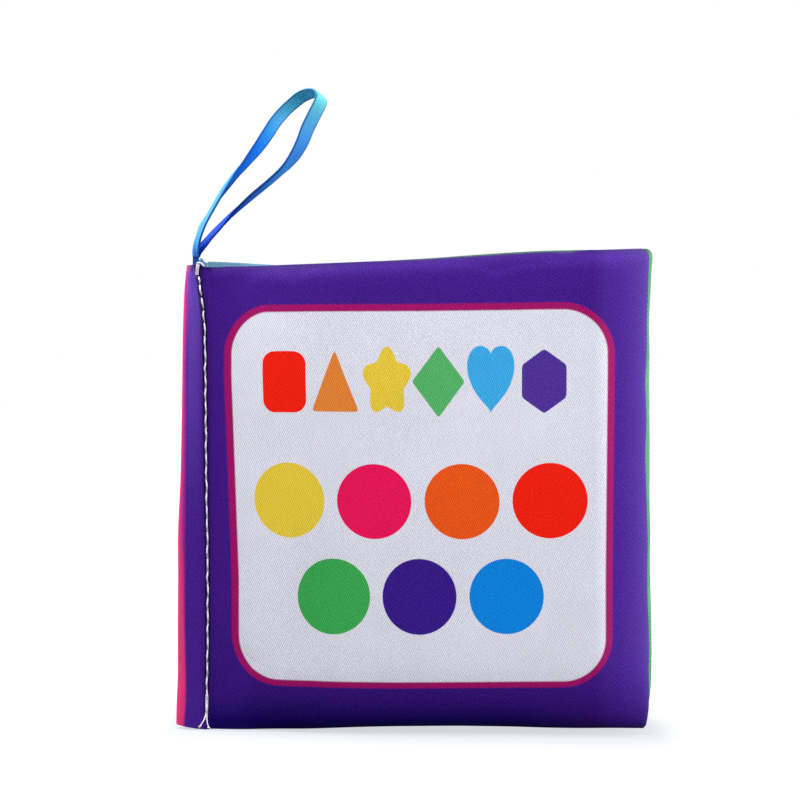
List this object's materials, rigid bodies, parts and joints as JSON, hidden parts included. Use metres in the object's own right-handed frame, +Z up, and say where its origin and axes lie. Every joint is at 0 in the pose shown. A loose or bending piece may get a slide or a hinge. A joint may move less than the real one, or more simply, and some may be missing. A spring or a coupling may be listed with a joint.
{
  "type": "fabric baby book",
  "caption": "Small square cloth book with padded leaves sewn along one seam beside the spine fold, and a satin ribbon loop at the top of the seam.",
  "frame": {"origin": "on the surface that the book stands on, under the middle of the box of the book without its ribbon loop", "axes": "+X from the spine to the fore edge, +Y from the front cover to the back cover, +Z up"},
  "size_m": [0.1108, 0.0294, 0.1518],
  "materials": {
    "purple_twill": "printed polyester twill, slight sheen",
    "pink_twill": "printed polyester twill, slight sheen",
    "green_twill": "printed polyester twill, slight sheen",
    "light_blue_twill": "printed polyester twill, slight sheen",
    "teal_twill": "printed polyester twill, slight sheen",
    "orange_twill": "printed polyester twill, slight sheen",
    "yellow_twill": "printed polyester twill, slight sheen",
    "blue_twill": "printed polyester twill, slight sheen",
    "wadding": "bonded polyester wadding",
    "crinkle_film": "thin clear film",
    "white_thread": "spun polyester thread",
    "satin_ribbon": "satin with fine ribs across it"
  },
  "bodies": {
    "spine": {"spine_cover_fabric": "purple_twill", "spine_cover_lining": "green_twill", "spine_leaf_outer_fabric": "light_blue_twill", "spine_leaf_inner_fabric": "teal_twill", "seam_needle_thread": "white_thread", "seam_bobbin_thread": "white_thread", "seam_backtack": "white_thread", "needle_thread_tail": "white_thread", "bobbin_thread_tail": "white_thread", "ribbon_tail": "satin_ribbon"},
    "front_leaf": {"front_leaf_outer_fabric": "light_blue_twill", "front_leaf_inner_fabric": "teal_twill", "front_leaf_padding": "wadding"},
    "front_cover": {"front_cover_outer_fabric": "purple_twill", "front_cover_lining": "green_twill", "front_cover_padding": "wadding", "front_cover_crinkle_film": "crinkle_film"},
    "back_leaf": {"back_leaf_outer_fabric": "yellow_twill", "back_leaf_inner_fabric": "orange_twill", "back_leaf_padding": "wadding"},
    "back_cover": {"back_cover_outer_fabric": "pink_twill", "back_cover_lining": "blue_twill", "back_cover_padding": "wadding", "back_cover_crinkle_film": "crinkle_film"},
    "ribbon": {"ribbon_loop": "satin_ribbon"}
  },
  "joints": [
    {"name": "front_leaf_turn", "type": "hinge", "parent": "spine", "child": "front_leaf", "pos_m": [-0.04835, -0.003, 0], "axis": [0, 0, -1], "range_deg": [0, 60]},
    {"name": "front_cover_turn", "type": "hinge", "parent": "front_leaf", "child": "front_cover", "pos_m": [-0.04835, -0.003, 0], "axis": [0, 0, -1], "range_deg": [0, 110]},
    {"name": "back_leaf_turn", "type": "hinge", "parent": "spine", "child": "back_leaf", "pos_m": [-0.04835, 0.003, 0], "axis": [0, 0, 1], "range_deg": [0, 60]},
    {"name": "back_cover_turn", "type": "hinge", "parent": "back_leaf", "child": "back_cover", "pos_m": [-0.04835, 0.003, 0], "axis": [0, 0, 1], "range_deg": [0, 110]},
    {"name": "ribbon_flop", "type": "hinge", "parent": "spine", "child": "ribbon", "pos_m": [-0.0499, 0, 0.1124], "axis": [1, 0, 0], "range_deg": [-75, 75], "stiffness_Nm_per_rad": 0.0005}
  ]
}
